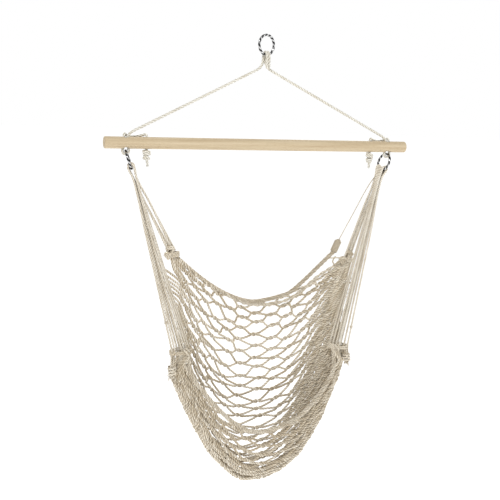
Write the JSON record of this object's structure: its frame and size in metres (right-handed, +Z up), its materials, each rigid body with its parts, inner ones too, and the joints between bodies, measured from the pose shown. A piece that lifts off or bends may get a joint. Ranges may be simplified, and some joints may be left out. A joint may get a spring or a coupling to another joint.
{
  "type": "rope hammock chair",
  "caption": "Hanging hammock chair: knotted cotton net seat slung from steel rings under a wooden spreader bar, with a rope bridle and hook ring.",
  "frame": {"origin": "where the ceiling hook bears on the inside of the hook ring", "axes": "+Z up; +X along the spreader bar, to the right as seen from the front; the open front of the seat faces -Y"},
  "size_m": [0.9, 0.1558, 1.269],
  "materials": {
    "plated_steel": "bright zinc plate on round wire",
    "beech": "sanded, unvarnished beech dowel",
    "white_rope": "three-strand twisted cotton rope, off-white",
    "cotton_cord": "three-strand twisted natural cotton cord"
  },
  "bodies": {
    "hook_ring": {"hook_ring": "plated_steel"},
    "hanger": {"spreader_bar": "beech", "suspension_rope": "white_rope", "stopper_knot_left": "white_rope", "stopper_knot_right": "white_rope"},
    "seat": {"back_border_rope": "cotton_cord", "back_knot_left": "cotton_cord", "back_knot_right": "cotton_cord", "border_cord": "cotton_cord", "border_end_sleeve": "cotton_cord", "clew_cord_left_01": "cotton_cord", "clew_cord_left_02": "cotton_cord", "clew_cord_left_03": "cotton_cord", "clew_cord_left_04": "cotton_cord", "clew_cord_left_05": "cotton_cord", "clew_cord_left_06": "cotton_cord", "clew_cord_left_07": "cotton_cord", "clew_cord_left_08": "cotton_cord", "clew_cord_left_09": "cotton_cord", "clew_cord_left_10": "cotton_cord", "clew_cord_left_11": "cotton_cord", "clew_cord_left_12": "cotton_cord", "clew_cord_right_01": "cotton_cord", "clew_cord_right_02": "cotton_cord", "clew_cord_right_03": "cotton_cord", "clew_cord_right_04": "cotton_cord", "clew_cord_right_05": "cotton_cord", "clew_cord_right_06": "cotton_cord", "clew_cord_right_07": "cotton_cord", "clew_cord_right_08": "cotton_cord", "clew_cord_right_09": "cotton_cord", "clew_cord_right_10": "cotton_cord", "clew_cord_right_11": "cotton_cord", "clew_cord_right_12": "cotton_cord", "clew_eyes_left": "cotton_cord", "clew_eyes_right": "cotton_cord", "edge_tie_left": "cotton_cord", "edge_tie_right": "cotton_cord", "front_border_rope": "cotton_cord", "front_knot_left": "cotton_cord", "front_knot_right": "cotton_cord", "net_panel": "cotton_cord", "seat_tie_left": "cotton_cord", "seat_tie_right": "cotton_cord", "side_rope_left": "cotton_cord", "side_rope_right": "cotton_cord"},
    "ring_left": {"seat_ring_left": "plated_steel"},
    "ring_right": {"seat_ring_right": "plated_steel"}
  },
  "joints": [
    {"name": "hanger_swing", "type": "hinge", "parent": "hook_ring", "child": "hanger", "pos_m": [0, 0, -0.051], "axis": [0.9361, 0.3518, 0], "range_deg": [-30, 30]},
    {"name": "seat_swing", "type": "hinge", "parent": "hanger", "child": "seat", "pos_m": [0, 0, -0.3182], "axis": [1, 0, 0], "range_deg": [-20, 20]},
    {"name": "ring_left_twist", "type": "hinge", "parent": "seat", "child": "ring_left", "pos_m": [-0.392, 0, -0.3182], "axis": [0.3338, 0, -0.9426], "range_deg": [-5, 5]},
    {"name": "ring_right_twist", "type": "hinge", "parent": "seat", "child": "ring_right", "pos_m": [0.392, 0, -0.3182], "axis": [-0.319, 0, -0.9478], "range_deg": [-5, 5]}
  ]
}
